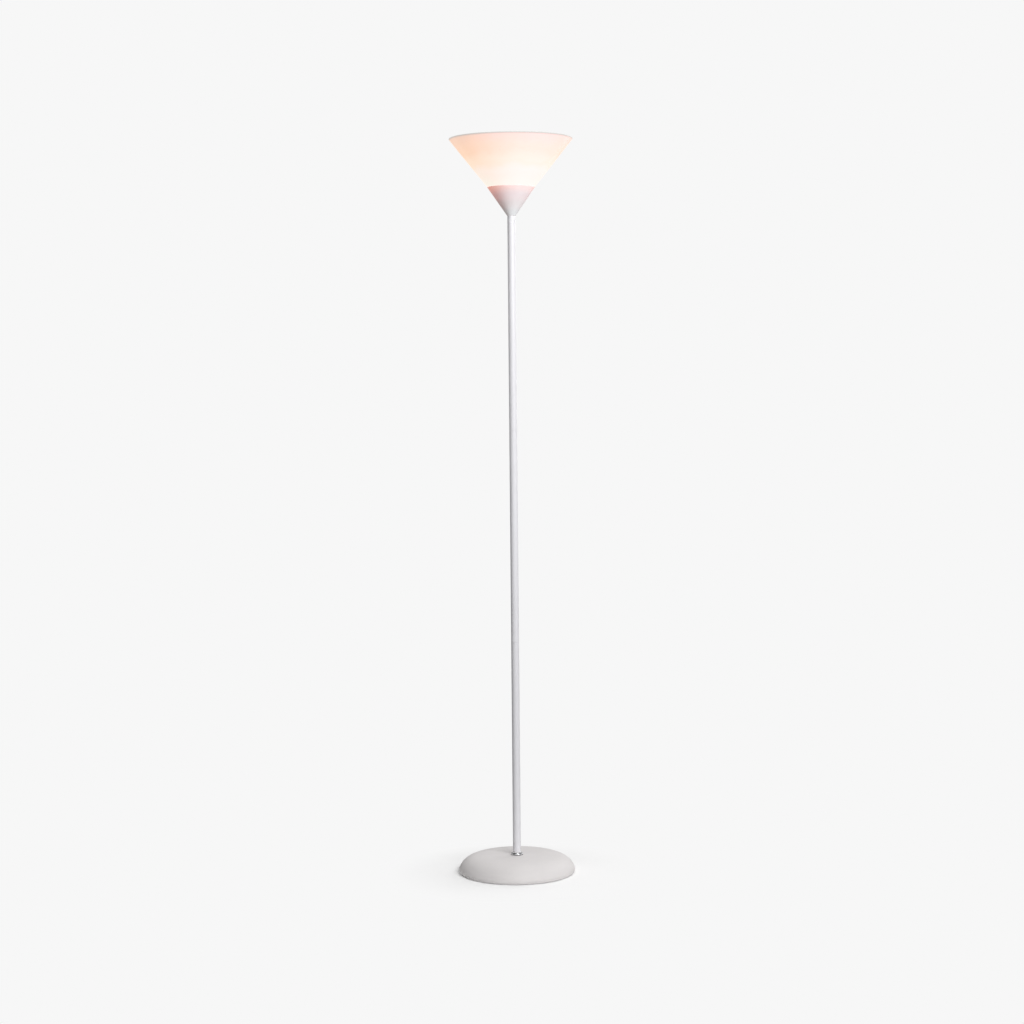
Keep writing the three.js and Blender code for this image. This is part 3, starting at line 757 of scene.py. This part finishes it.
def make_shade():
    """The opal cone, with a rounded bead at the rim and a collar that sits inside the cup."""
    seam = CUP_Z + GAP
    lip = SHADE_WALL / 2
    slope = (RIM_R - CUP_R) / (RIM_Z - lip - seam)
    wall = SHADE_WALL * math.hypot(1, slope)
    collar_z = shade_low.z
    collar_top_r = CUP_R - CUP_WALL_ACROSS - GAP
    collar_r = collar_top_r - CUP_SLOPE * (CUP_Z - collar_z)
    points = [
        (collar_r - 2.2 * MM, collar_z, 0.9 * MM),
        (collar_r, collar_z, 0.9 * MM),
        (collar_top_r, CUP_Z + 0.1 * MM),
        (collar_top_r, seam),
        (CUP_R, seam, 0.25 * MM),
        (RIM_R, RIM_Z - lip * 0.9, 0.8 * MM),
        (RIM_R - 0.3 * wall, RIM_Z, 1.0 * MM),
        (RIM_R - 0.7 * wall, RIM_Z, 1.0 * MM),
        (RIM_R - wall, RIM_Z - lip * 0.9, 0.8 * MM),
        (CUP_R - wall + slope * 2 * MM, seam + 2 * MM, 2 * MM),
    ]
    return turned("shade_cone", points, 224, steps=5)


def make_skirt():
    """The lampholder's sleeve, ribbed for grip round its lower half."""
    r, z0, z1 = skirt_high.x, skirt_low.z, skirt_high.z
    inner = 16 * MM
    mouth = inner - 1.2 * MM
    neck_r = r - 1.5 * MM
    ribs, rib_depth = 36, 0.035  # the depth is a share of the radius
    ribs_low, ribs_high = z0 + 2 * MM, z1 - 11 * MM
    points = [
        (inner, z0, 0.3 * MM),
        (r, z0, 0.6 * MM),
        (r, z1 - 9 * MM, 0.5 * MM),
        (neck_r, z1 - 8 * MM, 0.5 * MM),
        (neck_r, z1, 0.6 * MM),
        (mouth, z1, 0.5 * MM),
        (mouth, z1 - 1.5 * MM),
        (inner, z1 - 2.5 * MM),
    ]
    skirt = turned("lampholder_sleeve", points, 144)
    bm = bmesh.new()
    bm.from_mesh(skirt.data)
    tall = [e for e in bm.edges if abs(e.verts[0].co.z - e.verts[1].co.z) > 15 * MM]
    outer_edges = [e for e in tall if e.verts[0].co.xy.length > r - MM]
    bmesh.ops.subdivide_edges(bm, edges=outer_edges, cuts=3)
    for v in bm.verts:
        if v.co.xy.length > r - 0.1 * MM and ribs_low < v.co.z < ribs_high:
            angle = math.atan2(v.co.y, v.co.x)
            v.co.xy = v.co.xy * (1 - rib_depth * (0.5 + 0.5 * math.cos(angle * ribs)))
    bm.to_mesh(skirt.data)
    bm.free()
    return skirt


THREAD_PITCH = 3.6 * MM
ROWS_PER_TURN = 8


def threaded(name, radius, depth, z0, z1, wall, outside=True, segments=48):
    """A rolled round thread in a thin sleeve: a helical wave on both of its walls."""
    bm = bmesh.new()
    rows = max(int((z1 - z0) / THREAD_PITCH * ROWS_PER_TURN), ROWS_PER_TURN)
    side = 1 if outside else -1
    skins = []
    for skin in (0, 1):
        rings = []
        for row in range(rows + 1):
            z = z0 + (z1 - z0) * row / rows
            fade = min(1, row / ROWS_PER_TURN, (rows - row) / ROWS_PER_TURN)
            ring = []
            for k in range(segments):
                a = math.tau * k / segments
                wave = 0.5 - 0.5 * math.cos(math.tau * ((z - z0) / THREAD_PITCH - k / segments))
                r = radius - side * depth * (1 - wave) * fade - skin * side * wall
                ring.append(bm.verts.new((r * math.cos(a), r * math.sin(a), z)))
            rings.append(ring)
        skins.append(rings)
    outer, inner = skins
    for rings in skins:
        for lower, upper in zip(rings, rings[1:]):
            for k in range(segments):
                n = (k + 1) % segments
                bm.faces.new([lower[k], lower[n], upper[n], upper[k]])
    for row in (0, -1):
        for k in range(segments):
            n = (k + 1) % segments
            bm.faces.new([outer[row][k], outer[row][n], inner[row][n], inner[row][k]])
    return finished(name, bm, sharp=50)


# ---------------------------------------------------------------- bulb

GLOBE_WALL = 1.2 * MM
cap_low, cap_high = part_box("bulb_screw_cap")


def make_globe():
    """The frosted dome: a thin spherical shell, open below."""
    outer_r = (globe_high.x - globe_low.x) / 2
    centre = globe_high.z - outer_r
    skins = []
    for r, steps in ((outer_r, 28), (outer_r - GLOBE_WALL, 24)):
        edge = math.asin((globe_low.z - centre) / r)
        skin = [(r * math.cos(a), centre + r * math.sin(a)) for a in arc_steps(math.pi / 2, edge, steps)]
        skins.append([(0, skin[0][1]), *skin[1:]])
    outer, inner = skins
    return turned("bulb_frosted_globe", [*outer, *inner[::-1]], 96, closed=False)


def make_bulb_body():
    """The housing: a flared cup with a thinner neck that goes down into the screw cap."""
    low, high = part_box("bulb_body")
    cap_r, cap_top = cap_high.x, cap_high.z
    wall = 1.5 * MM
    neck_r = cap_r - 1.3 * MM
    shoulder_r = cap_r + 0.9 * MM
    shoulder_z = cap_top + 0.2 * MM
    waist_z = cap_top + 13 * MM
    top_r, top_z = high.x, high.z
    points = [
        (neck_r - wall, low.z),
        (neck_r, low.z, 0.3 * MM),
        (neck_r, shoulder_z),
        (shoulder_r, shoulder_z, 0.4 * MM),
        (shoulder_r, cap_top + 5 * MM, 2 * MM),
        (cap_r + 4 * MM, waist_z, 9 * MM),
        (top_r - 1.5 * MM, top_z - 6 * MM, 6 * MM),
        (top_r, top_z, 0.4 * MM),
        (top_r - 1.6 * MM, top_z, 0.3 * MM),
        (top_r - 3.1 * MM, top_z - 6 * MM, 4 * MM),
        (cap_r + 2.4 * MM, waist_z, 8 * MM),
        (neck_r - wall, cap_top + 3 * MM, 2 * MM),
    ]
    return turned("bulb_housing", points, 96, steps=6)


def make_screw_cap():
    """The bulb's screw cap, with its rolled thread."""
    return threaded("bulb_thread_cap", cap_high.x, 0.9 * MM, cap_low.z, cap_high.z, 0.35 * MM)


def make_thread_shell():
    """The lampholder's screw shell, a plain sleeve round the cap's thread."""
    low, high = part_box("lampholder_thread_shell")
    return threaded("lampholder_shell", high.x - 0.6 * MM, 0, low.z, high.z, 0.5 * MM, outside=False)


# ---------------------------------------------------------------- put together

stands_for(make_cover(), "base_cover")
stands_for(make_plate(), "base_plate")
stands_for(make_ferrule(), "pole_ferrule")
for index in range(1, 7):
    stands_for(make_foot(f"foot_{index}"), f"foot_{index}")
for section in ("lower", "middle", "upper"):
    stands_for(make_tube(f"pole_{section}"), f"pole_{section}")
stands_for(make_cup(), "shade_cup")
stands_for(make_shade(), "shade")
stands_for(make_skirt(), "lampholder_skirt")
stands_for(make_globe(), "bulb_globe")
stands_for(make_bulb_body(), "bulb_body")
stands_for(make_screw_cap(), "bulb_screw_cap")
stands_for(make_thread_shell(), "lampholder_thread_shell")

# The rest of the CAD nodes, with their edges softened.
replaced = {node for obj in bpy.data.objects for node in obj.get("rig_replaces", [])}
for node in frame["nodes"]:
    if node not in replaced:
        stands_for(softened(f"{node}_piece", node, 0.25 * MM), node)


# ---------------------------------------------------------------- studio

CAMERA_DISTANCE = LAMP_H * 2.825
CAMERA_HEIGHT = LAMP_H * 0.677
CAMERA_PITCH = -3.666  # degrees, as the next two
CAMERA_ROLL = -0.515
CAMERA_YAW = 0.054
CAMERA_LENS = 73.07  # on a sensor 36 mm wide

camera_data = bpy.data.cameras.new("camera")
camera_data.lens = CAMERA_LENS
camera_data.sensor_width = 36
camera_data.clip_end = 200
camera = bpy.data.objects.new("camera", camera_data)
camera.matrix_world = (
    Matrix.Translation((0, -CAMERA_DISTANCE, CAMERA_HEIGHT))
    @ Matrix.Rotation(math.radians(CAMERA_YAW), 4, "Z")
    @ Matrix.Rotation(math.radians(90 + CAMERA_PITCH), 4, "X")
    @ Matrix.Rotation(math.radians(CAMERA_ROLL), 4, "Z")
)
bpy.context.collection.objects.link(camera)
bpy.context.scene.camera = camera

BACKDROP = 0.93  # how bright the floor and the wall behind look
BOUNCE = 0.2  # how much of the far floor's brightness lights the lamp

# How bright the room is from its left (0) to its right (1).
ROOM_LIGHT = ((0, 0.03), (0.28, 0.25), (0.55, 0.88), (1, 0.25))


def make_world():
    """A white studio. Its light comes mostly from above, ahead and behind; the far left is dark."""
    world = bpy.data.worlds.new("studio")
    bpy.context.scene.world = world
    world.use_nodes = True
    tree = world.node_tree
    seen = tree.nodes["Background"]
    seen.inputs["Color"].default_value = (BACKDROP, BACKDROP, BACKDROP, 1)
    place = tree.nodes.new("ShaderNodeTexCoord")
    parts = tree.nodes.new("ShaderNodeSeparateXYZ")
    tree.links.new(place.outputs["Generated"], parts.inputs["Vector"])
    side = tree.nodes.new("ShaderNodeMapRange")
    side.inputs["From Min"].default_value = -1
    tree.links.new(parts.outputs["X"], side.inputs["Value"])
    ramp = tree.nodes.new("ShaderNodeValToRGB")
    fill_ramp(ramp, [(position, (level, level, level)) for position, level in ROOM_LIGHT])
    tree.links.new(side.outputs["Result"], ramp.inputs["Fac"])
    lighting = tree.nodes.new("ShaderNodeBackground")
    tree.links.new(ramp.outputs["Color"], lighting.inputs["Color"])
    path = tree.nodes.new("ShaderNodeLightPath")
    mix = tree.nodes.new("ShaderNodeMixShader")
    tree.links.new(path.outputs["Is Camera Ray"], mix.inputs[0])
    tree.links.new(lighting.outputs[0], mix.inputs[1])
    tree.links.new(seen.outputs[0], mix.inputs[2])
    tree.links.new(mix.outputs[0], tree.nodes["World Output"].inputs["Surface"])


FLOOR_RINGS = (BASE_R - 6 * MM, 1, 60)
FLOOR_SEGMENTS = 128
FLOOR_FADE = (0.15, 0.32)  # the distances between which the floor fades to the backdrop


def make_floor():
    """A pale floor that fades to the backdrop's brightness and can be seen through from below.

    It is open under the base, so that light reaches the underside.
    """
    bm = bmesh.new()
    turns = arc_steps(0, math.tau, FLOOR_SEGMENTS)[:-1]
    rings = [
        [bm.verts.new((r * math.cos(a), r * math.sin(a), 0)) for a in turns] for r in FLOOR_RINGS
    ]
    for inner, outer in zip(rings, rings[1:]):
        for k in range(FLOOR_SEGMENTS):
            bm.faces.new([inner[k - 1], outer[k - 1], outer[k], inner[k]])
    floor = finished("studio_floor", bm)
    material = bpy.data.materials.new("studio_floor")
    material.use_nodes = True
    tree = material.node_tree
    tree.nodes.clear()
    diffuse = tree.nodes.new("ShaderNodeBsdfDiffuse")
    diffuse.inputs["Color"].default_value = (0.86, 0.86, 0.86, 1)
    glow = tree.nodes.new("ShaderNodeEmission")
    glow.inputs["Color"].default_value = (BACKDROP, BACKDROP, BACKDROP, 1)
    path = tree.nodes.new("ShaderNodeLightPath")
    strength = tree.nodes.new("ShaderNodeMapRange")
    strength.inputs["To Min"].default_value = BOUNCE
    tree.links.new(path.outputs["Is Camera Ray"], strength.inputs["Value"])
    tree.links.new(strength.outputs["Result"], glow.inputs["Strength"])
    place = tree.nodes.new("ShaderNodeTexCoord")
    length = tree.nodes.new("ShaderNodeVectorMath")
    length.operation = "LENGTH"
    tree.links.new(place.outputs["Object"], length.inputs[0])
    far = tree.nodes.new("ShaderNodeMapRange")
    far.interpolation_type = "SMOOTHSTEP"
    far.inputs["From Min"].default_value = FLOOR_FADE[0]
    far.inputs["From Max"].default_value = FLOOR_FADE[1]
    tree.links.new(length.outputs["Value"], far.inputs["Value"])
    mix = tree.nodes.new("ShaderNodeMixShader")
    tree.links.new(far.outputs["Result"], mix.inputs[0])
    tree.links.new(diffuse.outputs[0], mix.inputs[1])
    tree.links.new(glow.outputs[0], mix.inputs[2])
    clear = tree.nodes.new("ShaderNodeBsdfTransparent")
    side = tree.nodes.new("ShaderNodeNewGeometry")
    both = tree.nodes.new("ShaderNodeMixShader")
    tree.links.new(side.outputs["Backfacing"], both.inputs[0])
    tree.links.new(mix.outputs[0], both.inputs[1])
    tree.links.new(clear.outputs[0], both.inputs[2])
    output = tree.nodes.new("ShaderNodeOutputMaterial")
    tree.links.new(both.outputs[0], output.inputs["Surface"])
    floor.data.materials.append(material)


# Each light's name, place, what it faces, its width and height, and its power in watts.
LIGHTS = (
    ("key", (1.3, -2.1, 2.2), (0, 0, 1.0), (1.8, 1.2), 60),
    ("rim_right", (2.0, 2.0, 1.6), (0, 0, 0.9), (1.2, 1.6), 17),
    ("rim_left", (-2.0, 2.0, 1.6), (0, 0, 0.9), (1.2, 1.6), 7),
    ("top", (-0.7, -1.0, 3.4), (0, 0, 0.6), (1.5, 1.5), 16),
)


def area_light(name, place, target, size, power):
    data = bpy.data.lights.new(name, "AREA")
    data.shape = "RECTANGLE"
    data.size, data.size_y = size
    data.energy = power
    light = bpy.data.objects.new(name, data)
    direction = Vector(target) - Vector(place)
    light.rotation_mode = "QUATERNION"
    light.rotation_quaternion = direction.to_track_quat("-Z", "Y")
    light.location = place
    bpy.context.collection.objects.link(light)


make_world()
make_floor()
for light in LIGHTS:
    area_light(*light)

bpy.context.scene.view_settings.view_transform = "Standard"
